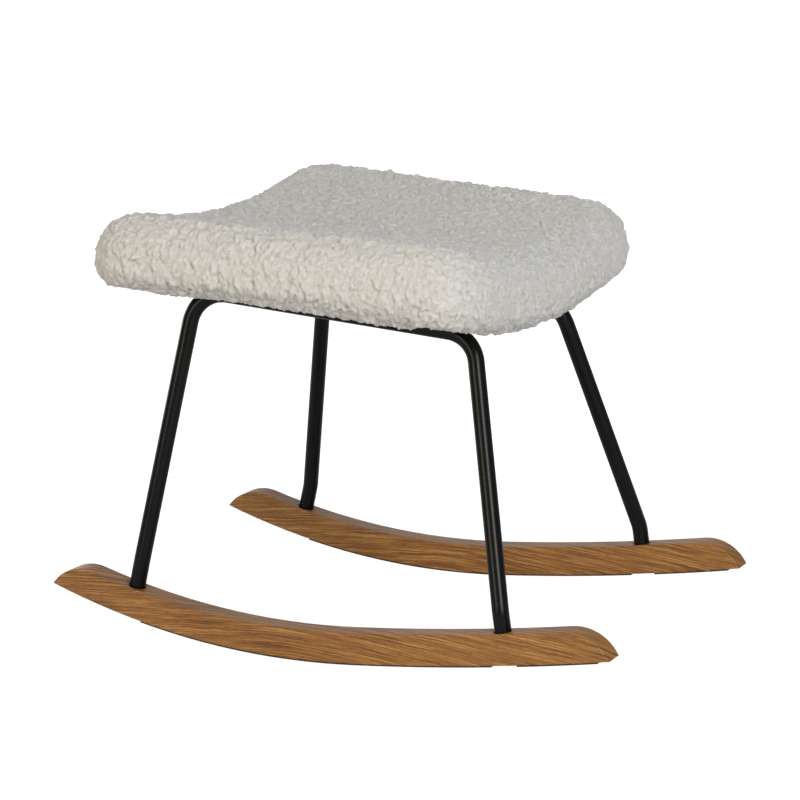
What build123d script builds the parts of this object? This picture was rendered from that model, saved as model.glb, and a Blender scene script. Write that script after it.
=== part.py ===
"""Rocking footstool: two wooden rockers, two tube hoops, two seat straps and a dished pile pad.

Millimetres, +Z up. X runs along the rockers and Y across them. The origin lies on the floor
under the middle of the rockers. The stool is the same on both sides of the plane Y = 0.
"""

from build123d import *
import os
from math import acos, asin, atan2, cos, degrees, hypot, pi, radians, sin, sqrt

os.makedirs("parts", exist_ok=True)

# Rockers: two arcs underneath, a tight one that rolls and a flatter one at the +X toe. The stool
# rests where its weight is over the tight arc, a shift towards -X from the middle.
rocker_spacing = 356.0
rocker_thickness = 25.0
rocker_depth = 30.0
rocker_reach = 297.9
roll_radius = 800.0
toe_radius = 2800.0
toe_turn = 4.17
contact_shift = 24.2
end_radius = 43.0
edge_easing = 1.2

# Glide strips under each rocker, glued on: a long one, a gap, and a short one near the +X tip
strip_thickness = 1.4
glue_gap = 0.1
strip_width = 21.0
middle_strip_inset = 99.4
strip_gap = 25.9
end_strip_length = 80.0
end_strip_inset = 12.5

# Hoops: one bent tube on each side, from rocker to rocker end under the pad
tube_diameter = 16.0
tube_wall = 1.5
hoop_bend_radius = 34.0
foot_bend_radius = 30.0
left_foot_inset = 84.2
right_foot_inset = 106.3
left_foot_rise = 26.0
right_foot_rise = 18.0
left_corner_inset = 80.8
left_corner_half_width = 136.6
left_corner_height = 345.5
right_corner_inset = 42.4
right_corner_half_width = 103.2
right_corner_height = 311.2

# Feet: the tube stands in a socket, and a screw from below pulls on a plug in it
socket_depth = 16.0
socket_clearance = 0.25
socket_mouth = 1.2
plug_length = 22.0
screw_diameter = 6.0
head_diameter = 11.0
head_height = 3.6
hex_socket_width = 4.0
washer_diameter = 14.0
washer_thickness = 1.2
foot_screw_recess = 7.0
hole_clearance = 0.3
foot_thread_length = 15.0

# Pad, with its pile, in the seat's own plane: it is dished across, round a line above it
pad_length = 402.8
pad_left_depth = 469.0
pad_right_depth = 433.8
pad_thickness = 74.6
pad_corner_radius = 58.0
pad_top_edge_radius = 35.6
pad_bottom_edge_radius = 27.5
pad_shift = 31.2
dish_radius = 870.0
cover_thickness = 9.0
lining_gap = 0.3

# Seat board and what is stapled under it
board_height = 16.0
board_thickness = 10.0
board_inset = 20.0
lip_inset = 38.0
hem_inset = 58.0
hem_turn = 5.7
sheet_thickness = 1.2
sheet_overlap = 8.0
least_sheet_corner = 6.0
staple_crown = 10.0
staple_wire = 0.8
staple_leg = 6.0
staple_columns = 6
staple_rows = 5

# Seat straps, by how far their middles are in from the ends of the pad
strap_width = 30.0
strap_thickness = 3.0
left_strap_inset = 117.4
right_strap_inset = 90.4
left_seat_rise = 3.2
right_seat_rise = 10.6
strap_end_margin = 5.0
weld_bite = 1.0
seat_screw_spread = 170.0
seat_washer_diameter = 13.0
nut_flange_diameter = 19.0
nut_flange_thickness = 1.4
nut_barrel_diameter = 7.6
nut_barrel_margin = 1.0
curve_gap = 0.1
cut_overshoot = 1.0

tube_radius = tube_diameter / 2
bore_radius = tube_radius - tube_wall
contact_x = -contact_shift
pad_center_x = -pad_shift
left_foot_x = left_foot_inset - rocker_reach
right_foot_x = rocker_reach - right_foot_inset
left_corner_x = pad_center_x - pad_length / 2 + left_corner_inset
right_corner_x = pad_center_x + pad_length / 2 - right_corner_inset
left_strap_station = left_strap_inset - pad_length / 2
right_strap_station = pad_length / 2 - right_strap_inset
middle_strip_start = middle_strip_inset - rocker_reach
end_strip_end = rocker_reach - end_strip_inset
end_strip_start = end_strip_end - end_strip_length
middle_strip_end = end_strip_start - strip_gap
strip_top = -glue_gap
strip_bottom = strip_top - strip_thickness
roll_center_z = roll_radius - strip_bottom
toe_x = contact_x + roll_radius * sin(radians(toe_turn))
toe_center_x = contact_x - (toe_radius - roll_radius) * sin(radians(toe_turn))
toe_center_z = roll_center_z + (toe_radius - roll_radius) * cos(radians(toe_turn))
sides = {"front": -1, "rear": 1}


def save(part, name):
    """Label a finished piece and write its file."""
    part.label = name
    export_step(part, f"parts/{name}.step")


# ---------------------------------------------------------------- rockers and strips


def arc_at(x):
    """Centre and radius of the underside arc over x."""
    if x <= toe_x:
        return contact_x, roll_center_z, roll_radius
    return toe_center_x, toe_center_z, toe_radius


def underside(x, depth=0.0):
    """Point at a depth into the wood, square to the underside, from its point at x."""
    center_x, center_z, radius = arc_at(x)
    lean = asin((x - center_x) / radius)
    return center_x + (radius - depth) * sin(lean), center_z - (radius - depth) * cos(lean)


def spans(start, end):
    """A stretch of the underside, cut where its two arcs meet."""
    if start < toe_x < end:
        return [(start, toe_x), (toe_x, end)]
    return [(start, end)]


def arcs_between(start, end, depth):
    """Draw the arcs that follow the underside at a depth, inside a line builder."""
    for a, b in spans(start, end):
        ThreePointArc(underside(a, depth), underside((a + b) / 2, depth), underside(b, depth))


def round_start(tip_x, inward):
    """X, on the underside, where the rounded end of a rocker runs into its top."""
    center_x, _, radius = arc_at(tip_x)
    rounding = radius - rocker_depth + end_radius
    turn = acos((rounding**2 + radius**2 - end_radius**2) / (2 * rounding * radius))
    lean = asin((tip_x - center_x) / radius)
    return center_x + radius * sin(lean + inward * turn)


def foot_plane(x, y, depth):
    """Plane square to the underside at x, lifted by a depth, with its Z up the leg."""
    center_x, _, radius = arc_at(x)
    lean = asin((x - center_x) / radius)
    px, pz = underside(x, depth)
    return Plane(origin=(px, y, pz), x_dir=(0, 1, 0), z_dir=(-sin(lean), 0, cos(lean)))


left_round = round_start(-rocker_reach, 1)
right_round = round_start(rocker_reach, -1)
socket_radius = tube_radius + socket_clearance
screw_hole_radius = screw_diameter / 2 + hole_clearance
recess_radius = washer_diameter / 2 + hole_clearance

for side, sign in sides.items():
    mid_y = sign * rocker_spacing / 2
    rocker_plane = Plane.XZ.offset(-mid_y)

    with BuildPart() as rocker:
        with BuildSketch(rocker_plane):
            with BuildLine():
                arcs_between(-rocker_reach, rocker_reach, 0)
                arcs_between(left_round, right_round, rocker_depth)
                RadiusArc(underside(-rocker_reach), underside(left_round, rocker_depth), end_radius)
                RadiusArc(underside(right_round, rocker_depth), underside(rocker_reach), end_radius)
            make_face()
        extrude(amount=rocker_thickness / 2, both=True)
        outlines = rocker.edges().group_by(Axis.Y)
        fillet(outlines[0] + outlines[-1], edge_easing)
        for foot_x in (left_foot_x, right_foot_x):
            with Locations(foot_plane(foot_x, mid_y, rocker_depth)):
                Cylinder(
                    socket_radius,
                    2 * socket_depth,
                    mode=Mode.SUBTRACT,
                )
            with Locations(foot_plane(foot_x, mid_y, rocker_depth - socket_mouth)):
                Cone(
                    socket_radius,
                    socket_radius + 2 * socket_mouth,
                    2 * socket_mouth,
                    align=(Align.CENTER, Align.CENTER, Align.MIN),
                    mode=Mode.SUBTRACT,
                )
            with Locations(foot_plane(foot_x, mid_y, 0)):
                Cylinder(screw_hole_radius, 2 * rocker_depth, mode=Mode.SUBTRACT)
                Cylinder(recess_radius, 2 * foot_screw_recess, mode=Mode.SUBTRACT)
    save(rocker.part, f"{side}_rocker")

    strips = {
        "middle_strip": (middle_strip_start, middle_strip_end),
        "end_strip": (end_strip_start, end_strip_end),
    }
    for strip_name, (start, end) in strips.items():
        with BuildPart() as strip:
            with BuildSketch(rocker_plane):
                with BuildLine():
                    arcs_between(start, end, strip_top)
                    arcs_between(start, end, strip_bottom)
                    Line(underside(start, strip_top), underside(start, strip_bottom))
                    Line(underside(end, strip_top), underside(end, strip_bottom))
                make_face()
            extrude(amount=strip_width / 2, both=True)
        save(strip.part, f"{side}_{strip_name}")


# ---------------------------------------------------------------- hoops and feet

tube_end_depth = rocker_depth - socket_depth


def on_leg(x, y, rise):
    """Point on a leg's foot axis, at a height over the top of the rocker."""
    return foot_plane(x, y, rocker_depth + rise).origin


def hoop_path(sign):
    """Corners of a hoop's centre line, from its left foot over the top to its right foot."""
    y = sign * rocker_spacing / 2
    return [
        on_leg(left_foot_x, y, -socket_depth),
        on_leg(left_foot_x, y, left_foot_rise),
        Vector(left_corner_x, sign * left_corner_half_width, left_corner_height),
        Vector(right_corner_x, sign * right_corner_half_width, right_corner_height),
        on_leg(right_foot_x, y, right_foot_rise),
        on_leg(right_foot_x, y, -socket_depth),
    ]


hoop_envelopes = {}
hoop_bends = [foot_bend_radius, hoop_bend_radius, hoop_bend_radius, foot_bend_radius]

for side, sign in sides.items():
    mid_y = sign * rocker_spacing / 2

    with BuildPart() as hoop:
        with BuildLine() as hoop_line:
            FilletPolyline(*hoop_path(sign), radius=hoop_bends)
        with BuildSketch(foot_plane(left_foot_x, mid_y, tube_end_depth)):
            Circle(tube_radius)
            Circle(bore_radius, mode=Mode.SUBTRACT)
        sweep(path=hoop_line.wires()[0])
    save(hoop.part, f"{side}_hoop")

    with BuildPart() as envelope:
        with BuildSketch(foot_plane(left_foot_x, mid_y, tube_end_depth)):
            Circle(tube_radius)
        sweep(path=hoop_line.wires()[0])
    hoop_envelopes[side] = envelope.part
    section_area = pi * (tube_radius**2 - bore_radius**2)
    swept = section_area * hoop_line.wires()[0].length
    print(side, "hoop volume over section times length", round(hoop.part.volume / swept, 4))

    for foot, foot_x in (("left", left_foot_x), ("right", right_foot_x)):
        recess_floor = foot_plane(foot_x, mid_y, foot_screw_recess)

        with BuildPart(foot_plane(foot_x, mid_y, tube_end_depth)) as plug:
            Cylinder(bore_radius, plug_length, align=(Align.CENTER, Align.CENTER, Align.MIN))
            Cylinder(screw_diameter / 2, 2 * plug_length, mode=Mode.SUBTRACT)
        save(plug.part, f"{side}_{foot}_foot_plug")

        with BuildPart(recess_floor) as washer:
            Cylinder(washer_diameter / 2, washer_thickness,
                     align=(Align.CENTER, Align.CENTER, Align.MAX))
            Cylinder(screw_hole_radius, 3 * washer_thickness, mode=Mode.SUBTRACT)
        save(washer.part, f"{side}_{foot}_foot_washer")

        shank = tube_end_depth - foot_screw_recess + washer_thickness + foot_thread_length
        with BuildPart(recess_floor.offset(-washer_thickness)) as screw:
            Cylinder(head_diameter / 2, head_height,
                     align=(Align.CENTER, Align.CENTER, Align.MAX))
            Cylinder(screw_diameter / 2, shank, align=(Align.CENTER, Align.CENTER, Align.MIN))
            with BuildSketch(recess_floor.offset(-washer_thickness - head_height)):
                RegularPolygon(hex_socket_width / 2, 6, major_radius=False)
            extrude(amount=head_height / 2, mode=Mode.SUBTRACT)
        save(screw.part, f"{side}_{foot}_foot_screw")


# ---------------------------------------------------------------- seat plane

bar_run = right_corner_x - left_corner_x
bar_fall = left_corner_height - right_corner_height
bar_slope = atan2(bar_fall, bar_run)
pad_middle_share = (pad_center_x - left_corner_x) / bar_run
board_radius = dish_radius - board_height


def bar_half_width(share):
    """Half the distance between the two hoops' bars, at a share of their run."""
    return left_corner_half_width + share * (right_corner_half_width - left_corner_half_width)


def axis_distance(share, rise):
    """Height of the dish's axis over a bar that lies a rise under the seat board."""
    return sqrt((board_radius + tube_radius + rise) ** 2 - bar_half_width(share) ** 2)


bar_length = hypot(bar_run, bar_fall)
left_share = pad_middle_share + left_strap_station / bar_length
right_share = pad_middle_share + right_strap_station / bar_length
left_axis = axis_distance(left_share, left_seat_rise)
right_axis = axis_distance(right_share, right_seat_rise)
strap_distance = right_strap_station - left_strap_station
seat_tilt = bar_slope - asin((right_axis - left_axis) / strap_distance)

along = Vector(cos(seat_tilt), 0, -sin(seat_tilt))
upward = Vector(sin(seat_tilt), 0, cos(seat_tilt))
bar_start = Vector(left_corner_x, 0, left_corner_height)
bar_direction = Vector(cos(bar_slope), 0, -sin(bar_slope))
left_bar_point = bar_start + bar_direction * (left_share * bar_length)
axis_point = left_bar_point + upward * left_axis
seat_origin = axis_point - upward * dish_radius - along * left_strap_station
seat_plane = Plane(origin=seat_origin, x_dir=along, z_dir=upward)
print("seat tilt", round(degrees(seat_tilt), 2), "seat origin", seat_origin)


def station_plane(station):
    """Plane across the seat, looking along it, with its Y square to the seat."""
    return Plane(origin=seat_origin + along * station, x_dir=(0, 1, 0), z_dir=along)


# ---------------------------------------------------------------- pad forms


def end_rounding(distance, radius):
    """How far a rounded edge of a radius stays back at a distance from the end."""
    if distance >= radius:
        return 0.0
    return radius - sqrt(radius**2 - (radius - distance) ** 2)


def pad_half_depth(station):
    """Half the pad's depth, which narrows towards the right."""
    share = station / pad_length + 0.5
    return (pad_left_depth + share * (pad_right_depth - pad_left_depth)) / 2


def pad_section(station, distance, inset):
    """The pad's section at a station, at a distance from its end, shrunk by an inset."""
    plan_radius = pad_corner_radius - inset
    top_edge = pad_top_edge_radius - inset
    bottom_edge = pad_bottom_edge_radius - inset
    thickness = pad_thickness - 2 * inset
    half = pad_half_depth(station) - inset - end_rounding(distance, plan_radius)
    top = pad_thickness - inset - end_rounding(distance, top_edge)
    bottom = inset + end_rounding(distance, bottom_edge)
    share = (top - bottom) / thickness
    top_edge = top_edge * share
    bottom_edge = bottom_edge * share
    top_radius = dish_radius + inset
    bottom_radius = dish_radius - inset
    top_center = top + top_radius
    bottom_center = bottom + bottom_radius
    top_round = top_center - sqrt((top_radius + top_edge) ** 2 - (half - top_edge) ** 2)
    bottom_round = bottom_center - sqrt(
        (bottom_radius - bottom_edge) ** 2 - (half - bottom_edge) ** 2
    )
    top_share = top_radius / (top_radius + top_edge)
    bottom_share = bottom_radius / (bottom_radius - bottom_edge)
    top_y = (half - top_edge) * top_share
    top_z = top_center - (top_center - top_round) * top_share
    bottom_y = (half - bottom_edge) * bottom_share
    bottom_z = bottom_center - (bottom_center - bottom_round) * bottom_share
    with BuildSketch(station_plane(station)) as section:
        with BuildLine():
            ThreePointArc((-top_y, top_z), (0, top), (top_y, top_z))
            RadiusArc((top_y, top_z), (half, top_round), top_edge)
            Line((half, top_round), (half, bottom_round))
            RadiusArc((half, bottom_round), (bottom_y, bottom_z), bottom_edge)
            ThreePointArc((bottom_y, bottom_z), (0, bottom), (-bottom_y, bottom_z))
            RadiusArc((-bottom_y, bottom_z), (-half, bottom_round), bottom_edge)
            Line((-half, bottom_round), (-half, top_round))
            RadiusArc((-half, top_round), (-top_y, top_z), top_edge)
        make_face()
    return section.sketch


def pad_form(inset):
    """The pad's crowned outer form, shrunk by an inset: a loft from end to end."""
    plan_radius = pad_corner_radius - inset
    half_length = pad_length / 2 - inset
    turns = (0, 13, 27, 42, 57, 73, 90)
    distances = [plan_radius * (1 - cos(radians(turn))) for turn in turns]
    left_end = [pad_section(d - half_length, d, inset) for d in distances]
    right_end = [pad_section(half_length - d, d, inset) for d in reversed(distances)]
    with BuildPart() as form:
        loft(left_end + right_end, ruled=True)
    return form.part


def curved_sheet(inset, low, high):
    """A sheet with the pad's outline less an inset, between two heights over its underside."""
    half_length = pad_length / 2 - inset
    left_half = pad_half_depth(-half_length) - inset
    right_half = pad_half_depth(half_length) - inset
    corner = max(pad_corner_radius - inset, least_sheet_corner)
    with BuildPart() as sheet:
        with BuildSketch(seat_plane) as plan:
            Polygon(
                (-half_length, -left_half),
                (half_length, -right_half),
                (half_length, right_half),
                (-half_length, left_half),
                align=None,
            )
            fillet(plan.vertices(), corner)
        extrude(amount=pad_thickness, both=True)
        with BuildSketch(station_plane(-half_length)):
            with Locations((0, dish_radius)):
                Circle(dish_radius - low)
                Circle(dish_radius - high, mode=Mode.SUBTRACT)
        extrude(amount=2 * half_length, mode=Mode.INTERSECT)
    return sheet.part


# ---------------------------------------------------------------- seat straps and fasteners

hem_height = board_height - sheet_thickness
strap_top_radius = dish_radius - hem_height
strap_under_radius = strap_top_radius + strap_thickness
nut_barrel_length = board_thickness - nut_barrel_margin
screw_angle = asin(seat_screw_spread / 2 / board_radius)


def radial_plane(station, angle, radius):
    """Plane square to the dish at an angle round its axis, at a radius, with its Z upward."""
    down = Vector(0, sin(angle), 0) - upward * cos(angle)
    center = seat_origin + along * station + upward * dish_radius
    return Plane(origin=center + down * radius, x_dir=along, z_dir=-down)


straps = {
    "left": (left_strap_station, left_share, left_seat_rise),
    "right": (right_strap_station, right_share, right_seat_rise),
}
screw_planes = {}

for end, (station, share, rise) in straps.items():
    bar_angle = atan2(bar_half_width(share), axis_distance(share, rise))
    bar_top_radius = board_radius + rise
    tab_length = bar_top_radius + weld_bite - strap_under_radius
    end_reach = strap_thickness / 2 if tab_length > weld_bite else strap_end_margin
    end_angle = bar_angle + end_reach / strap_under_radius

    with BuildPart() as strap:
        with BuildSketch(station_plane(station - strap_width / 2)):
            with Locations((0, dish_radius)):
                Circle(strap_under_radius)
                Circle(strap_top_radius, mode=Mode.SUBTRACT)
                Polygon(
                    (0, 0),
                    (-2 * dish_radius * sin(end_angle), -2 * dish_radius * cos(end_angle)),
                    (2 * dish_radius * sin(end_angle), -2 * dish_radius * cos(end_angle)),
                    align=None,
                    mode=Mode.INTERSECT,
                )
            if tab_length > weld_bite:
                for sign in sides.values():
                    tab_angle = sign * bar_angle
                    tab_middle = strap_under_radius + tab_length / 2 - strap_thickness / 4
                    tab_y = tab_middle * sin(tab_angle)
                    tab_z = dish_radius - tab_middle * cos(tab_angle)
                    with Locations(Location((tab_y, tab_z, 0), (0, 0, degrees(tab_angle)))):
                        Rectangle(strap_thickness, tab_length + strap_thickness / 2)
        extrude(amount=strap_width)
        for envelope in hoop_envelopes.values():
            add(envelope, mode=Mode.SUBTRACT)
        for sign in sides.values():
            with Locations(radial_plane(station, sign * screw_angle, strap_top_radius)):
                Cylinder(screw_hole_radius, 4 * strap_thickness, mode=Mode.SUBTRACT)
    save(strap.part, f"{end}_seat_strap")

    for side, sign in sides.items():
        place = f"{side}_{end}"
        angle = sign * screw_angle
        under_strap = radial_plane(station, angle, strap_under_radius)
        screw_planes[place] = radial_plane(station, angle, board_radius)

        with BuildPart(under_strap) as washer:
            Cylinder(seat_washer_diameter / 2, washer_thickness,
                     align=(Align.CENTER, Align.CENTER, Align.MAX))
            Cylinder(screw_hole_radius, 3 * washer_thickness, mode=Mode.SUBTRACT)
        save(washer.part, f"{place}_seat_washer")

        head_seat = under_strap.offset(-washer_thickness)
        shank = washer_thickness + strap_thickness + sheet_thickness + nut_barrel_length
        with BuildPart(head_seat) as screw:
            Cylinder(head_diameter / 2, head_height,
                     align=(Align.CENTER, Align.CENTER, Align.MAX))
            Cylinder(screw_diameter / 2, shank, align=(Align.CENTER, Align.CENTER, Align.MIN))
            with BuildSketch(head_seat.offset(-head_height)):
                RegularPolygon(hex_socket_width / 2, 6, major_radius=False)
            extrude(amount=head_height / 2, mode=Mode.SUBTRACT)
        save(screw.part, f"{place}_seat_screw")

        board_top = screw_planes[place].offset(board_thickness + curve_gap)
        with BuildPart(board_top) as nut:
            Cylinder(nut_flange_diameter / 2, nut_flange_thickness,
                     align=(Align.CENTER, Align.CENTER, Align.MIN))
            Cylinder(nut_barrel_diameter / 2, nut_barrel_length + curve_gap,
                     align=(Align.CENTER, Align.CENTER, Align.MAX))
            Cylinder(screw_diameter / 2, 4 * nut_barrel_length, mode=Mode.SUBTRACT)
        save(nut.part, f"{place}_seat_nut")


# ---------------------------------------------------------------- staples

rim_radius = dish_radius - hem_height + sheet_thickness
staple_inset = hem_inset - sheet_overlap / 2
half_run = pad_length / 2 - staple_inset


def staple_angle(station, share):
    """Angle round the dish's axis at a share of the staple line's half width."""
    return asin(share * (pad_half_depth(station) - staple_inset) / rim_radius)


staple_places = []
for step in range(staple_columns):
    station = (2 * (step + 0.5) / staple_columns - 1) * (half_run - pad_corner_radius / 2)
    for sign in sides.values():
        staple_places.append((station, staple_angle(station, sign), 0))
for step in range(staple_rows):
    share = (2 * (step + 0.5) / staple_rows - 1) * (1 - pad_corner_radius / pad_left_depth)
    for station in (-half_run, half_run):
        staple_places.append((station, staple_angle(station, share), 90))

with BuildPart() as staples:
    for station, angle, turn in staple_places:
        rim = radial_plane(station, angle, rim_radius).location * Location((0, 0, 0), (0, 0, turn))
        with Locations(rim):
            Box(staple_crown, staple_wire, staple_wire,
                align=(Align.CENTER, Align.CENTER, Align.MAX))
        for leg in (-1, 1):
            foot = (leg * (staple_crown - staple_wire) / 2, 0, -staple_wire)
            with Locations(rim * Location(foot)):
                Box(staple_wire, staple_wire, staple_leg + staple_wire,
                    align=(Align.CENTER, Align.CENTER, Align.MIN))
save(staples.part, "staples")


# ---------------------------------------------------------------- cover, foam, board and sheets

rim_height = hem_height - sheet_thickness
nut_pocket_radius = nut_flange_diameter / 2 + hole_clearance
nut_pocket_height = nut_flange_thickness + 2 * curve_gap

with BuildPart() as seat_board:
    add(curved_sheet(board_inset, board_height, board_height + board_thickness))
    for plane in screw_planes.values():
        with Locations(plane):
            Cylinder(nut_barrel_diameter / 2, 4 * board_thickness, mode=Mode.SUBTRACT)
    add(staples.part, mode=Mode.SUBTRACT)
save(seat_board.part, "seat_board")

with BuildPart() as seat_foam:
    add(pad_form(cover_thickness + lining_gap))
    add(curved_sheet(lip_inset - lining_gap, -board_height, board_height), mode=Mode.SUBTRACT)
    add(
        curved_sheet(board_inset, board_height, board_height + board_thickness),
        mode=Mode.SUBTRACT,
    )
    for plane in screw_planes.values():
        with Locations(plane.offset(board_thickness)):
            Cylinder(nut_pocket_radius, 2 * nut_pocket_height, mode=Mode.SUBTRACT)
save(seat_foam.part, "seat_foam")

with BuildPart() as seat_cover:
    add(pad_form(0))
    add(pad_form(cover_thickness), mode=Mode.SUBTRACT)
    add(curved_sheet(lip_inset, cover_thickness - cut_overshoot, board_height))
    add(curved_sheet(lip_inset + hem_turn, -board_height, hem_height), mode=Mode.SUBTRACT)
    add(
        curved_sheet(hem_inset, hem_height - cut_overshoot, board_height + cut_overshoot),
        mode=Mode.SUBTRACT,
    )
    add(staples.part, mode=Mode.SUBTRACT)
save(seat_cover.part, "seat_cover")

with BuildPart() as dust_cover:
    add(curved_sheet(hem_inset + lining_gap, hem_height, board_height))
    add(curved_sheet(hem_inset - sheet_overlap, rim_height, hem_height))
    add(
        curved_sheet(hem_inset + sheet_overlap, rim_height - cut_overshoot, hem_height),
        mode=Mode.SUBTRACT,
    )
    for plane in screw_planes.values():
        with Locations(plane):
            Cylinder(screw_hole_radius, 4 * sheet_thickness, mode=Mode.SUBTRACT)
    add(staples.part, mode=Mode.SUBTRACT)
save(dust_cover.part, "dust_cover")
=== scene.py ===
"""Looks of the rocking footstool: oak rockers, black tube hoops and a curly off-white pile pad.

Metres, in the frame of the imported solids: X along the rockers, Y across them, +Z up.
"""

import math

import bmesh
import bpy
import numpy as np
from mathutils import Matrix, Vector, noise
from mathutils.bvhtree import BVHTree


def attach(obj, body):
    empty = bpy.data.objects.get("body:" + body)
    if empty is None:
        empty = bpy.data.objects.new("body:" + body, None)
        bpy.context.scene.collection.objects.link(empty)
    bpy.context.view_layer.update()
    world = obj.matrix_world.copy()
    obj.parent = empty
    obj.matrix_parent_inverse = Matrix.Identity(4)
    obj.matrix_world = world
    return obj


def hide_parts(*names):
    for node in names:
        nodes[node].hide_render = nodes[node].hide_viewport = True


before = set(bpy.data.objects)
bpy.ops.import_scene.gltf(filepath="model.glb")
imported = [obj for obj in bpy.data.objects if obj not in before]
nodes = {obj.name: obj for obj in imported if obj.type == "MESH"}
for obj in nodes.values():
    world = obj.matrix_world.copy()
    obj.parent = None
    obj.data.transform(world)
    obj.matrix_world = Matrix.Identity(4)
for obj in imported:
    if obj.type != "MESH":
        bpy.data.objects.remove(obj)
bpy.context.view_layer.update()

# Camera: where it stands, which way it looks, and its focal length over the image's side
CAMERA_AZIMUTH = 26.2035
CAMERA_ELEVATION = 11.2744
CAMERA_ROLL = -1.1253
CAMERA_DISTANCE = 2.75048
CAMERA_AIM = (-0.00153, 0.0, 0.2211)
FOCAL_PIXELS = 2750.0
IMAGE_PIXELS = 800.0
SENSOR_MM = 36.0

# Pad: its closed form is remeshed and set inside its outline, then swells on its stuffing
VOXEL_SIZE = 0.0046
PILE_HEIGHT = 0.0062
SWELL_CAP = 0.0040
SWELL_FRAMES = 20

# Lower border: where it faces down, it is set in further round one place along X
LOWER_FACING = (0.2, 0.8)
LOWER_INSET = 0.0060
LOWER_MIDDLE = -0.08
LOWER_REACH = 0.12

# Ends: how much longer the cloth gets, how far along X it moves, and how its -X end twists
END_FULLNESS = 0.019
END_SHIFT = 0.0015
TWIST = 0.003
TWIST_LENGTH = 0.25

# Underside: flat cloth under the dust cover and a hem round it, by their distance from it
UNDER_FACING = (0.4, 0.7)
HIDDEN = (0.003, 0.008)
HEM = (0.008, 0.024)
HEM_INSET = 0.0006
DUST_INSET = 0.0024
HEM_PILE = 0.3

# Panels: faces that point up or down by more than this belong to the top or to the hem
TOP_FACING = 0.5

# Pile: warped domes of three sizes and creases between larger cells. Each has a spacing and a
# share of the relief, and each kind of dome a seed.
TUFTS = (0.0085, 0.38, 3.0)
CURLS = (0.0042, 0.30, 11.0)
FIBRES = (0.0024, 0.14, 23.0)
PARTING_SPACING = 0.024
PARTING_SHARE = 0.18
PARTING_WARP = 0.4
PARTING_WIDTH = 0.16
DOME_WARP = 0.35
DOME_REACH = 0.85
DOME_MEAN = 0.75
DOME_SPREAD = 0.8
STRETCH = np.array([1.0, 1.0, 0.85])
PILE_RELIEF = 0.0079
PILE_SEED = 7
# Painted shade of the pile: the mean, the contrast and the smoothing steps of its depth below the
# local mean
DEPTH_MEAN = 0.6
DEPTH_CONTRAST = 1.2
DEPTH_STEPS = 30

# Oak: how the fibres rise along X, where they bend down, how softly, and by how much
GRAIN_RISE = 0.065
GRAIN_BEND_X = -0.02
GRAIN_SOFT = 0.10
GRAIN_DIP = 0.175
# Growth rings: their lean across the board, and how far they wander in waves and in ripples
RING_LEAN = 0.55
WAVE_SCALE = 13.0
WAVE_HEIGHT = 0.005
RIPPLE_SCALE = 60.0
RIPPLE_HEIGHT = 0.0014
# Streaks and pores: noise per metre along the fibres, across the board and across the rings
STREAKS_ALONG = 11.0
STREAKS_THROUGH = 660.0
PORES_ALONG = 160.0
PORES_ACROSS = 1200.0
PORES_THROUGH = 1500.0

# Studio: the floor, the even light all round, and the softboxes' aim and colours
FLOOR_HALF = 8.0
FLOOR_COLOR = (0.8, 0.8, 0.8)
SHADOW_NEAR = 0.35
SHADOW_FAR = 0.85
SHADOW_STRENGTH = 0.18
FLOOR_GLOW = 1.2
AMBIENT_COLOR = (0.91, 0.965, 1.0)
AMBIENT_STRENGTH = 0.285
LIGHT_AIM = (0.0, 0.0, 0.25)
NEUTRAL = (1.0, 0.985, 0.97)
WARM = (1.0, 0.87, 0.65)
COOL = (0.95, 0.98, 1.0)


# ---------------------------------------------------------------- node helpers


def new_material(name):
    """An empty node material, with its node tree."""
    material = bpy.data.materials.new(name)
    material.use_nodes = True
    tree = material.node_tree
    tree.nodes.clear()
    return material, tree


def node(tree, kind, inputs=None, **settings):
    """Add a shader node, set its attributes and its unlinked inputs."""
    made = tree.nodes.new(kind)
    for key, value in settings.items():
        setattr(made, key, value)
    for key, value in (inputs or {}).items():
        made.inputs[key].default_value = value
    return made


def ramp(tree, stops, source):
    """A colour ramp of (place, colour) stops, fed by a socket."""
    made = node(tree, "ShaderNodeValToRGB")
    elements = made.color_ramp.elements
    while len(elements) < len(stops):
        elements.new(0.5)
    for element, (place, color) in zip(elements, stops):
        element.position = place
        element.color = (*color, 1.0)
    tree.links.new(source, made.inputs["Fac"])
    return made.outputs["Color"]


def surface(tree, **inputs):
    """The principled shader and the output, with plain inputs set."""
    shader = node(tree, "ShaderNodeBsdfPrincipled")
    for key, value in inputs.items():
        shader.inputs[key.replace("_", " ")].default_value = value
    output = node(tree, "ShaderNodeOutputMaterial")
    tree.links.new(shader.outputs["BSDF"], output.inputs["Surface"])
    return shader


def dress(name, material):
    """Give a carried-over node a material."""
    mesh = nodes[name].data
    mesh.materials.clear()
    mesh.materials.append(material)


def roughen(tree, shader, height, strength, distance):
    """Bump a shader by a height socket, a distance in metres at full height."""
    bump = node(tree, "ShaderNodeBump", {"Strength": strength, "Distance": distance})
    tree.links.new(height, bump.inputs["Height"])
    tree.links.new(bump.outputs["Normal"], shader.inputs["Normal"])


def object_place(tree):
    """The place on the object, in metres."""
    return node(tree, "ShaderNodeTexCoord").outputs["Object"]


def srgb(red, green, blue):
    """A colour given as 0 to 255 display values, as the linear values of a shader."""
    def linear(value):
        value /= 255.0
        return value / 12.92 if value <= 0.04045 else ((value + 0.055) / 1.055) ** 2.4
    return linear(red), linear(green), linear(blue)


def calc(tree, operation, first, second=0.0):
    """A math node on sockets or plain numbers; gives its output socket."""
    made = node(tree, "ShaderNodeMath", operation=operation)
    for socket, value in zip(made.inputs, (first, second)):
        if isinstance(value, (int, float)):
            socket.default_value = value
        else:
            tree.links.new(value, socket)
    return made.outputs[0]


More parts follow.
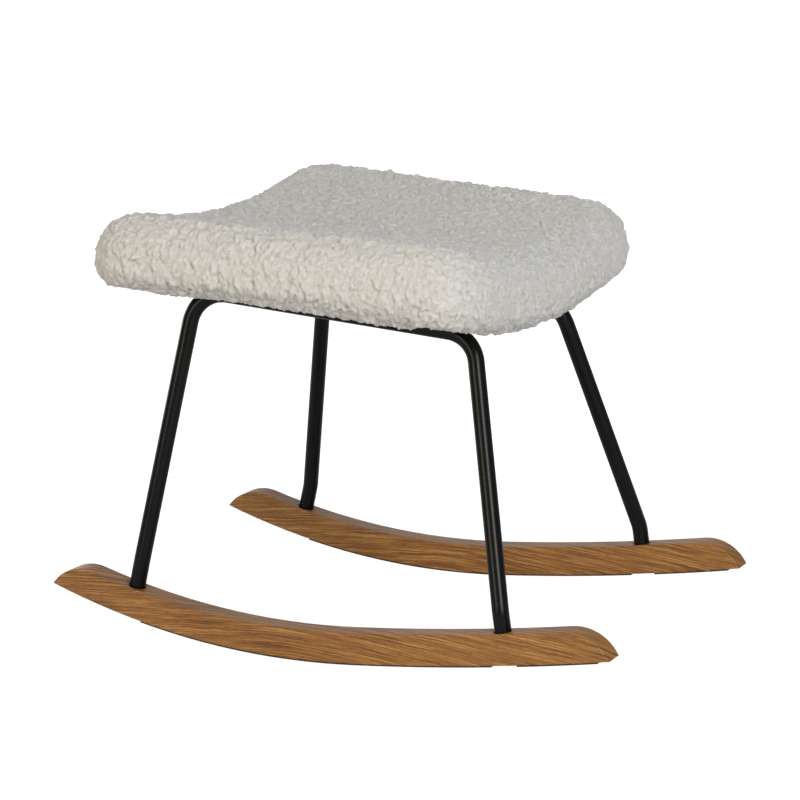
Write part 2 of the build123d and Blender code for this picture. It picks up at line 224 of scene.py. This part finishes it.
def vector_of(tree, *parts):
    """A vector socket joined from up to three sockets."""
    made = node(tree, "ShaderNodeCombineXYZ")
    for socket, part in zip(made.inputs, parts):
        if part is not None:
            tree.links.new(part, socket)
    return made.outputs[0]


def noise_of(tree, place, **inputs):
    """A noise texture's value over a place socket."""
    made = node(tree, "ShaderNodeTexNoise", inputs)
    tree.links.new(place, made.inputs["Vector"])
    return made.outputs["Fac"]


def blend(tree, kind, first, second):
    """Two colour sockets multiplied or otherwise blended, in full."""
    made = node(tree, "ShaderNodeMix", {"Factor": 1.0}, data_type="RGBA", blend_type=kind)
    tree.links.new(first, made.inputs["A"])
    tree.links.new(second, made.inputs["B"])
    return made.outputs["Result"]


# ---------------------------------------------------------------- materials


def oak_material():
    """Oiled oak sawn from a straight board, so the grain crosses the curve of the rocker."""
    material, tree = new_material("oak")
    link = tree.links.new
    place = object_place(tree)
    split = node(tree, "ShaderNodeSeparateXYZ")
    link(place, split.inputs["Vector"])
    x, y, z = split.outputs

    # Fibres rise a little at the -X end, then bend down towards +X
    bend = node(tree, "ShaderNodeMath", {1: 0.0, 2: GRAIN_SOFT}, operation="SMOOTH_MAX")
    link(calc(tree, "SUBTRACT", x, GRAIN_BEND_X), bend.inputs[0])
    level = calc(tree, "ADD", z, calc(tree, "MULTIPLY", bend.outputs[0], GRAIN_DIP))
    level = calc(tree, "SUBTRACT", level, calc(tree, "MULTIPLY", x, GRAIN_RISE))

    # Growth rings: thin dark lines that wander, and follow the fibres
    flow = vector_of(tree, x, y, level)
    waves = noise_of(tree, flow, Scale=WAVE_SCALE, Detail=1.0)
    ripples = noise_of(tree, flow, Scale=RIPPLE_SCALE, Detail=2.0, Roughness=0.6)
    wandering = calc(tree, "ADD", level, calc(tree, "MULTIPLY", waves, WAVE_HEIGHT))
    wandering = calc(tree, "ADD", wandering, calc(tree, "MULTIPLY", ripples, RIPPLE_HEIGHT))
    ring = calc(tree, "ADD", wandering, calc(tree, "MULTIPLY", y, RING_LEAN))
    streak_x = calc(tree, "MULTIPLY", x, STREAKS_ALONG)
    streak_z = calc(tree, "MULTIPLY", ring, STREAKS_THROUGH)
    rings = noise_of(
        tree,
        vector_of(tree, streak_x, None, streak_z),
        Scale=1.0,
        Detail=3.0,
        Roughness=0.7,
    )
    body = ramp(
        tree,
        [
            (0.36, srgb(88, 49, 13)),
            (0.46, srgb(130, 84, 32)),
            (0.54, srgb(147, 101, 44)),
            (0.64, srgb(182, 135, 74)),
        ],
        rings,
    )

    # Pores: short dark dashes along the fibres
    pores = noise_of(
        tree,
        vector_of(
            tree,
            calc(tree, "MULTIPLY", x, PORES_ALONG),
            calc(tree, "MULTIPLY", y, PORES_ACROSS),
            calc(tree, "MULTIPLY", ring, PORES_THROUGH),
        ),
        Scale=1.0,
        Detail=2.0,
        Roughness=0.6,
    )
    pore_mask = ramp(tree, [(0.34, (0.62, 0.57, 0.50)), (0.46, (1.0, 1.0, 1.0))], pores)
    patches = noise_of(tree, place, Scale=14.0, Detail=2.0)
    shade = ramp(tree, [(0.35, (0.92, 0.88, 0.84)), (0.65, (1.05, 1.05, 1.05))], patches)
    color = blend(tree, "MULTIPLY", blend(tree, "MULTIPLY", body, pore_mask), shade)

    shader = surface(tree, Specular_IOR_Level=0.5)
    link(color, shader.inputs["Base Color"])
    roughen(tree, shader, pores, 0.3, 0.0004)
    rough = node(tree, "ShaderNodeMapRange", {"To Min": 0.42, "To Max": 0.56})
    link(rings, rough.inputs["Value"])
    link(rough.outputs["Result"], shader.inputs["Roughness"])
    return material


def coated_material():
    """Satin black powder coat, with its fine orange peel."""
    material, tree = new_material("black_coat")
    peel = noise_of(tree, object_place(tree), Scale=900.0, Detail=3.0, Roughness=0.6)
    color = ramp(tree, [(0.3, srgb(6, 6, 6)), (0.7, srgb(10, 10, 10))], peel)
    shader = surface(tree, Roughness=0.29, Specular_IOR_Level=0.18)
    tree.links.new(color, shader.inputs["Base Color"])
    roughen(tree, shader, peel, 0.12, 0.0002)
    return material


def rubber_material():
    """Dark felted rubber of the glide strips."""
    material, tree = new_material("strip")
    grain = noise_of(tree, object_place(tree), Scale=1200.0, Detail=2.0)
    color = ramp(tree, [(0.3, srgb(38, 32, 28)), (0.7, srgb(58, 50, 44))], grain)
    shader = surface(tree, Roughness=0.85)
    tree.links.new(color, shader.inputs["Base Color"])
    roughen(tree, shader, grain, 0.3, 0.0002)
    return material


def zinc_material():
    """Zinc-plated steel of the screws, washers, nuts and staples."""
    material, tree = new_material("zinc")
    link = tree.links.new
    spangle = noise_of(tree, object_place(tree), Scale=500.0, Detail=3.0)
    color = ramp(tree, [(0.3, srgb(150, 150, 146)), (0.7, srgb(190, 190, 186))], spangle)
    rough = node(tree, "ShaderNodeMapRange", {"To Min": 0.28, "To Max": 0.45})
    link(spangle, rough.inputs["Value"])
    shader = surface(tree, Metallic=1.0)
    link(color, shader.inputs["Base Color"])
    link(rough.outputs["Result"], shader.inputs["Roughness"])
    return material


def plywood_material():
    """Birch plywood, whose edge shows its plies."""
    material, tree = new_material("plywood")
    link = tree.links.new
    stretch = node(tree, "ShaderNodeMapping", {"Scale": (8.0, 120.0, 900.0)})
    link(object_place(tree), stretch.inputs["Vector"])
    grain = noise_of(tree, stretch.outputs[0], Scale=1.0, Detail=3.0)
    color = ramp(tree, [(0.35, srgb(170, 136, 92)), (0.65, srgb(206, 172, 124))], grain)
    shader = surface(tree, Roughness=0.7)
    link(color, shader.inputs["Base Color"])
    return material


def woven_material(name, dark, light, threads):
    """Plain woven or spun cloth: fine crossed threads."""
    material, tree = new_material(name)
    link = tree.links.new
    place = object_place(tree)
    bands = []
    for direction in ("X", "Y"):
        wave = node(
            tree,
            "ShaderNodeTexWave",
            {"Scale": threads, "Distortion": 0.6},
            bands_direction=direction,
        )
        link(place, wave.inputs["Vector"])
        bands.append(wave.outputs["Fac"])
    weave = calc(tree, "MAXIMUM", *bands)
    color = ramp(tree, [(0.2, dark), (0.9, light)], weave)
    shader = surface(tree, Roughness=0.9)
    link(color, shader.inputs["Base Color"])
    roughen(tree, shader, weave, 0.3, 0.0003)
    return material


def pile_material():
    """Curly pile: cream tips, painted shade that turns the crevices between the tufts tan and
    darker, and fine crimped fibre.
    """
    material, tree = new_material("pile")
    place = object_place(tree)
    painted_shade_depth = node(tree, "ShaderNodeAttribute", attribute_name="pile", attribute_type="GEOMETRY")
    fibre = noise_of(tree, place, Scale=520.0, Detail=3.0, Roughness=0.65, Distortion=2.0)
    patches = noise_of(tree, place, Scale=45.0, Detail=3.0, Roughness=0.6)
    shade = calc(tree, "ADD", painted_shade_depth.outputs["Fac"], calc(tree, "MULTIPLY", fibre, 0.5))
    # Painted shade: the deeper a place lies in the pile, the darker and tanner its colour, with fine
    # fibre noise mixed in
    color = ramp(
        tree,
        [
            (0.20, srgb(176, 149, 114)),
            (0.44, srgb(205, 193, 172)),
            (0.68, srgb(214, 211, 205)),
            (1.00, srgb(224, 223, 221)),
        ],
        shade,
    )
    drift = ramp(tree, [(0.35, (0.95, 0.945, 0.93)), (0.65, (1.0, 1.0, 1.0))], patches)
    shader = surface(
        tree,
        Roughness=0.95,
        Specular_IOR_Level=0.1,
        Sheen_Weight=0.2,
        Sheen_Roughness=0.5,
        Subsurface_Weight=0.3,
        Subsurface_Radius=(1.0, 0.9, 0.8),
        Subsurface_Scale=0.0012,
    )
    tree.links.new(blend(tree, "MULTIPLY", color, drift), shader.inputs["Base Color"])
    roughen(tree, shader, fibre, 1.0, 0.0022)
    return material


# ---------------------------------------------------------------- pad: shape and cloth


def joined_copy(names, name):
    """One new object that holds copies of several nodes' meshes."""
    shape = bmesh.new()
    for node_name in names:
        shape.from_mesh(nodes[node_name].data)
    mesh = bpy.data.meshes.new(name)
    shape.to_mesh(mesh)
    shape.free()
    made = bpy.data.objects.new(name, mesh)
    bpy.context.scene.collection.objects.link(made)
    return made


def apply_modifiers(piece):
    """Turn an object's modifiers into its mesh."""
    graph = bpy.context.evaluated_depsgraph_get()
    mesh = bpy.data.meshes.new_from_object(piece.evaluated_get(graph))
    piece.modifiers.clear()
    piece.data = mesh


def points_of(mesh):
    """Vertex places as an array."""
    places = np.zeros(len(mesh.vertices) * 3)
    mesh.vertices.foreach_get("co", places)
    return places.reshape(-1, 3)


def normals_of(mesh):
    """Vertex normals as an array."""
    directions = np.zeros(len(mesh.vertices) * 3)
    mesh.vertex_normals.foreach_get("vector", directions)
    return directions.reshape(-1, 3)


def corners_of(mesh):
    """The four corners' vertex numbers of each face, for a mesh of four-sided faces."""
    corners = np.zeros(len(mesh.loops), dtype=np.int32)
    mesh.loops.foreach_get("vertex_index", corners)
    return corners.reshape(-1, 4)


def move_points(mesh, places):
    """Set vertex places from an array."""
    mesh.vertices.foreach_set("co", places.astype(np.float32).ravel())
    mesh.update()


def dome_field(places, spacing, seed):
    """Heights from 0 to 1 of domes about a spacing apart, each with its own height."""
    offset = Vector((seed, 0.37 * seed, 0.71 * seed))
    heights = np.zeros(len(places))
    for i, place in enumerate(places * STRETCH / spacing):
        at = Vector(place) + offset
        at += DOME_WARP * noise.noise_vector(1.3 * at)
        distances, centres = noise.voronoi(at)
        peak = DOME_MEAN + DOME_SPREAD * noise.noise(5.3 * centres[0])
        heights[i] = peak * math.sqrt(max(0.0, 1.0 - (distances[0] / DOME_REACH) ** 2))
    return heights


def parting_field(places):
    """Heights from 0 to 1 that drop along a few wandering creases in the pile."""
    heights = np.zeros(len(places))
    for i, place in enumerate(places * STRETCH / PARTING_SPACING):
        at = Vector(place)
        at += PARTING_WARP * noise.noise_vector(2.0 * at)
        near, far = noise.voronoi(at)[0][:2]
        open_here = min(1.0, max(0.0, 0.5 + 2.5 * noise.noise(0.9 * at)))
        crease = min(1.0, (far - near) / PARTING_WIDTH)
        heights[i] = 1.0 - open_here * (1.0 - crease)
    return heights


def smooth_by_edges(mesh, values, steps):
    """Values averaged with those of the neighbouring vertices, several times."""
    edges = np.zeros(len(mesh.edges) * 2, dtype=np.int32)
    mesh.edges.foreach_get("vertices", edges)
    edges = edges.reshape(-1, 2)
    count = np.bincount(edges.ravel(), minlength=len(values)).astype(float)
    for _ in range(steps):
        total = np.bincount(edges[:, 0], values[edges[:, 1]], len(values))
        total += np.bincount(edges[:, 1], values[edges[:, 0]], len(values))
        values = 0.5 * values + 0.5 * total / np.maximum(count, 1)
    return values


def swell(piece, rest):
    """Places of the cloth once swollen on its stuffing, outwards only and up to the cap."""
    scene = bpy.context.scene
    directions = normals_of(piece.data)
    cloth = piece.modifiers.new("cloth", "CLOTH")
    settings = cloth.settings
    settings.quality = 5
    settings.mass = 0.3
    settings.use_pressure = True
    settings.uniform_pressure_force = 4.0
    settings.tension_stiffness = 15
    settings.compression_stiffness = 15
    settings.shear_stiffness = 5
    settings.bending_stiffness = 0.5
    settings.effector_weights.gravity = 0.0
    cloth.collision_settings.use_self_collision = False
    for step in range(1, SWELL_FRAMES + 1):
        scene.frame_set(step)
    graph = bpy.context.evaluated_depsgraph_get()
    swollen = points_of(piece.evaluated_get(graph).data)
    piece.modifiers.clear()
    scene.frame_set(1)
    moved = swollen - rest
    outward = np.sum(moved * directions, axis=1)
    moved -= directions * np.minimum(outward, 0.0)[:, None]
    distance = np.maximum(np.linalg.norm(moved, axis=1), 1e-9)
    share = np.minimum(1.0, SWELL_CAP / distance)
    return rest + moved * share[:, None]


def smooth_step(values, low, high):
    """0 below the low value, 1 above the high one, and eased between."""
    share = np.clip((values - low) / (high - low), 0.0, 1.0)
    return share * share * (3.0 - 2.0 * share)


def distance_to(places, name):
    """How far places lie from a node's surface."""
    mesh = nodes[name].data
    surface_tree = BVHTree.FromPolygons(
        [vertex.co for vertex in mesh.vertices], [face.vertices for face in mesh.polygons]
    )
    return np.array([surface_tree.find_nearest(Vector(place))[3] for place in places])


def part_of(mesh, name, faces, normals):
    """A new object with some of a mesh's four-sided faces, shaded as if still one with the rest."""
    used, corners = np.unique(corners_of(mesh)[faces].ravel(), return_inverse=True)
    # The pile's painted crevice shade, carried over to the part
    shade = np.zeros(len(mesh.vertices), dtype=np.float32)
    mesh.attributes["pile"].data.foreach_get("value", shade)
    made = bpy.data.meshes.new(name)
    made.vertices.add(len(used))
    made.loops.add(len(corners))
    made.polygons.add(len(corners) // 4)
    made.vertices.foreach_set("co", points_of(mesh)[used].astype(np.float32).ravel())
    made.loops.foreach_set("vertex_index", corners.ravel().astype(np.int32))
    made.polygons.foreach_set("loop_start", np.arange(0, len(corners), 4, dtype=np.int32))
    made.polygons.foreach_set("use_smooth", np.ones(len(corners) // 4, dtype=bool))
    made.update(calc_edges=True)
    made.attributes.new("pile", "FLOAT", "POINT").data.foreach_set("value", shade[used])
    made.normals_split_custom_set_from_vertices(normals[used])
    made.materials.append(pile)
    piece = bpy.data.objects.new(name, made)
    bpy.context.scene.collection.objects.link(piece)
    return piece


def pad_shape():
    """The closed form of the whole pad as a mesh of even small faces."""
    pad = joined_copy(["seat_cover", "seat_foam", "seat_board", "dust_cover"], "cover")
    remesh = pad.modifiers.new("remesh", "REMESH")
    remesh.mode = "VOXEL"
    remesh.voxel_size = VOXEL_SIZE
    relax = pad.modifiers.new("relax", "SMOOTH")
    relax.factor = 0.5
    relax.iterations = 4
    apply_modifiers(pad)
    return pad


def lay_cloth(pad):
    """Set the cloth inside the pad's outline, let it swell, and note where its pile may stand."""
    mesh = pad.data
    rest = points_of(mesh)
    outward = normals_of(mesh)
    away = distance_to(rest, "dust_cover")
    hidden = 1.0 - smooth_step(away, *HIDDEN)
    under = smooth_step(-outward[:, 2], *UNDER_FACING) * (1.0 - smooth_step(away, *HEM))
    beneath = HEM_INSET + (DUST_INSET - HEM_INSET) * hidden
    lower = smooth_step(-outward[:, 2], *LOWER_FACING)
    lower_inset = LOWER_INSET * np.exp(-(((rest[:, 0] - LOWER_MIDDLE) / LOWER_REACH) ** 2))
    inset = (PILE_HEIGHT + lower_inset * lower) * (1.0 - under) + beneath * under
    cloth = rest - outward * inset[:, None]
    move_points(mesh, cloth)
    free = (1.0 - under)[:, None]
    cloth += free * (swell(pad, cloth) - cloth)

    # The ends fill out and the -X end twists a little
    middle = 0.5 * (cloth[:, 0].min() + cloth[:, 0].max())
    half_width = cloth[:, 1].max()
    toward_left = np.clip(0.5 - (cloth[:, 0] - middle) / TWIST_LENGTH, 0.0, 1.0)
    fuller = np.zeros_like(cloth)
    fuller[:, 0] = END_FULLNESS * (cloth[:, 0] - middle) + END_SHIFT
    fuller[:, 2] = TWIST * toward_left * cloth[:, 1] / half_width
    move_points(mesh, cloth + free * fuller)

    # The pile stands in full where the cloth is free, a little at the hem, and not beneath
    loose = (1.0 - under) + HEM_PILE * under * (1.0 - hidden)
    mesh.attributes.new("loose", "FLOAT", "POINT").data.foreach_set(
        "value", loose.astype(np.float32)
    )


def raise_pile(mesh):
    """Stand tufts, curls and fibres on the cloth; give the cloth's own normals.

    The attribute "pile" notes how deep each place lies in the pile, from 0 to 1, and carries the
    painted shade of the pile's crevices. The warps of the domes and partings follow the noise
    module's seed, which is the clock unless it is set.
    """
    noise.seed_set(PILE_SEED)
    places = points_of(mesh)
    outward = normals_of(mesh)
    loose = np.zeros(len(places), dtype=np.float32)
    mesh.attributes["loose"].data.foreach_get("value", loose)
    stand = PARTING_SHARE * parting_field(places)
    for spacing, share, seed in (TUFTS, CURLS, FIBRES):
        stand += share * dome_field(places, spacing, seed)
    # Painted shade: how far each place lies below the mean of its neighbours, for darkening the
    # pile's colour
    raised = stand - smooth_by_edges(mesh, stand, DEPTH_STEPS)
    painted_shade_depth = np.clip(DEPTH_MEAN + DEPTH_CONTRAST * raised, 0.0, 1.0)
    mesh.attributes.new("pile", "FLOAT", "POINT").data.foreach_set(
        "value", painted_shade_depth.astype(np.float32)
    )
    move_points(mesh, places + outward * (PILE_RELIEF * loose * stand)[:, None])
    return outward


def build_cover():
    """The pile cover, as its top, its border and the hem under the board, front and rear."""
    pad = pad_shape()
    lay_cloth(pad)
    finer = pad.modifiers.new("finer", "SUBSURF")
    finer.levels = 2
    apply_modifiers(pad)
    mesh = pad.data
    outward = raise_pile(mesh)
    corners = corners_of(mesh)
    facing = outward[corners].mean(axis=1)[:, 2]
    side = points_of(mesh)[corners].mean(axis=1)[:, 1]
    panels = {
        "top": facing > TOP_FACING,
        "border": (facing <= TOP_FACING) & (facing > -TOP_FACING),
        "hem": facing <= -TOP_FACING,
    }
    normals = normals_of(mesh)
    made = []
    for panel, chosen in panels.items():
        for half, here in (("front", side < 0), ("rear", side >= 0)):
            piece = part_of(mesh, f"cover_{panel}_{half}", chosen & here, normals)
            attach(piece, "root")
            made.append(piece)
    bpy.data.objects.remove(pad)
    return made


# ---------------------------------------------------------------- dress the solids

oak = oak_material()
coat = coated_material()
rubber = rubber_material()
zinc = zinc_material()
plywood = plywood_material()
pile = pile_material()
dust_cloth = woven_material("dust_cloth", srgb(22, 22, 22), srgb(40, 40, 40), 260.0)

finishes = {
    "rocker": oak,
    "strip": rubber,
    "hoop": coat,
    "strap": coat,
    "plug": zinc,
    "washer": zinc,
    "screw": zinc,
    "nut": zinc,
    "staples": zinc,
    "board": plywood,
    "dust_cover": dust_cloth,
}
for name in nodes:
    for ending, finish in finishes.items():
        if name.endswith(ending):
            dress(name, finish)

cover = build_cover()
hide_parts("seat_cover", "seat_foam")
for piece in cover[1:]:
    piece.parent = cover[0]


# ---------------------------------------------------------------- floor, light and camera


def seen_directly(tree):
    """1 for rays that the camera sends, and 0 for those that light or reflect."""
    return node(tree, "ShaderNodeLightPath").outputs["Is Camera Ray"]


def floor_material():
    """Matte and pale, but seen directly as white, too bright for the stool's shadow to show.

    Reflections see the matte floor, not the white.
    """
    material, tree = new_material("floor")
    link = tree.links.new
    matte = node(tree, "ShaderNodeBsdfDiffuse", {"Color": (*FLOOR_COLOR, 1.0)})
    white = node(
        tree, "ShaderNodeEmission", {"Color": (1.0, 1.0, 1.0, 1.0), "Strength": FLOOR_GLOW}
    )
    place = node(tree, "ShaderNodeTexCoord").outputs["Object"]
    distance = node(tree, "ShaderNodeVectorMath", operation="LENGTH")
    link(place, distance.inputs[0])
    fade = node(
        tree,
        "ShaderNodeMapRange",
        {
            "From Min": SHADOW_NEAR,
            "From Max": SHADOW_FAR,
            "To Min": 1.0 - SHADOW_STRENGTH,
            "To Max": 1.0,
        },
        interpolation_type="SMOOTHSTEP",
    )
    link(distance.outputs["Value"], fade.inputs["Value"])
    share = node(tree, "ShaderNodeMath", operation="MULTIPLY")
    link(fade.outputs["Result"], share.inputs[0])
    link(seen_directly(tree), share.inputs[1])
    mix = node(tree, "ShaderNodeMixShader")
    output = node(tree, "ShaderNodeOutputMaterial")
    link(share.outputs[0], mix.inputs["Fac"])
    link(matte.outputs[0], mix.inputs[1])
    link(white.outputs[0], mix.inputs[2])
    link(mix.outputs[0], output.inputs["Surface"])
    return material


def build_stage():
    """A pale floor under the stool."""
    mesh = bpy.data.meshes.new("floor")
    corners = [(x * FLOOR_HALF, y * FLOOR_HALF, 0) for x, y in ((-1, -1), (1, -1), (1, 1), (-1, 1))]
    mesh.from_pydata(corners, [], [(0, 1, 2, 3)])
    floor = bpy.data.objects.new("floor", mesh)
    bpy.context.scene.collection.objects.link(floor)
    mesh.materials.append(floor_material())


def build_world():
    """An even, dim world that only the camera sees as white; reflections see it as it is."""
    world = bpy.data.worlds.new("studio")
    world.use_nodes = True
    tree = world.node_tree
    tree.nodes.clear()
    link = tree.links.new
    ambient = node(
        tree, "ShaderNodeBackground", {"Color": (*AMBIENT_COLOR, 1.0), "Strength": AMBIENT_STRENGTH}
    )
    white = node(tree, "ShaderNodeBackground", {"Color": (1.0, 1.0, 1.0, 1.0), "Strength": 1.0})
    pick = node(tree, "ShaderNodeMixShader")
    output = node(tree, "ShaderNodeOutputWorld")
    link(seen_directly(tree), pick.inputs["Fac"])
    link(ambient.outputs[0], pick.inputs[1])
    link(white.outputs[0], pick.inputs[2])
    link(pick.outputs[0], output.inputs["Surface"])
    bpy.context.scene.world = world


def add_softbox(name, azimuth, elevation, distance, size, power, color):
    """A soft light on a ring round the stool; its azimuth 0 is the -Y side, and 90 is +X."""
    a = math.radians(azimuth)
    e = math.radians(elevation)
    away = Vector((math.sin(a) * math.cos(e), -math.cos(a) * math.cos(e), math.sin(e)))
    data = bpy.data.lights.new(name, "AREA")
    data.shape = "RECTANGLE"
    data.size, data.size_y = size
    data.energy = power
    data.color = color
    lamp = bpy.data.objects.new(name, data)
    lamp.visible_camera = False
    lamp.location = Vector(LIGHT_AIM) + away * distance
    lamp.rotation_mode = "QUATERNION"
    lamp.rotation_quaternion = (-away).to_track_quat("-Z", "Y")
    bpy.context.scene.collection.objects.link(lamp)


def build_camera():
    """The camera, where the photograph was taken from."""
    azimuth = math.radians(CAMERA_AZIMUTH)
    elevation = math.radians(CAMERA_ELEVATION)
    roll = math.radians(CAMERA_ROLL)
    back = Vector(
        (
            math.sin(azimuth) * math.cos(elevation),
            -math.cos(azimuth) * math.cos(elevation),
            math.sin(elevation),
        )
    )
    level_right = Vector((math.cos(azimuth), math.sin(azimuth), 0.0))
    level_up = back.cross(level_right)
    right = level_right * math.cos(roll) + level_up * math.sin(roll)
    up = back.cross(right)
    turn = Matrix((right, up, back)).transposed().to_4x4()
    data = bpy.data.cameras.new("camera")
    data.sensor_width = SENSOR_MM
    data.lens = FOCAL_PIXELS * SENSOR_MM / IMAGE_PIXELS
    camera = bpy.data.objects.new("camera", data)
    bpy.context.scene.collection.objects.link(camera)
    camera.matrix_world = Matrix.Translation(Vector(CAMERA_AIM) + back * CAMERA_DISTANCE) @ turn
    bpy.context.scene.camera = camera


build_stage()
build_world()
build_camera()
add_softbox("key", azimuth=49, elevation=24, distance=2.6, size=(0.8, 1.4), power=46, color=NEUTRAL)
add_softbox("side", azimuth=-21, elevation=17, distance=2.6, size=(0.8, 1.4), power=23, color=WARM)
add_softbox("above", azimuth=20, elevation=80, distance=2.4, size=(1.6, 1.6), power=6, color=COOL)
add_softbox("behind", azimuth=206, elevation=16, distance=3.0, size=(3.0, 1.6), power=12, color=COOL)
add_softbox("fill", azimuth=245, elevation=8, distance=3.0, size=(2.4, 1.2), power=24, color=NEUTRAL)

bpy.context.scene.view_settings.view_transform = "Standard"
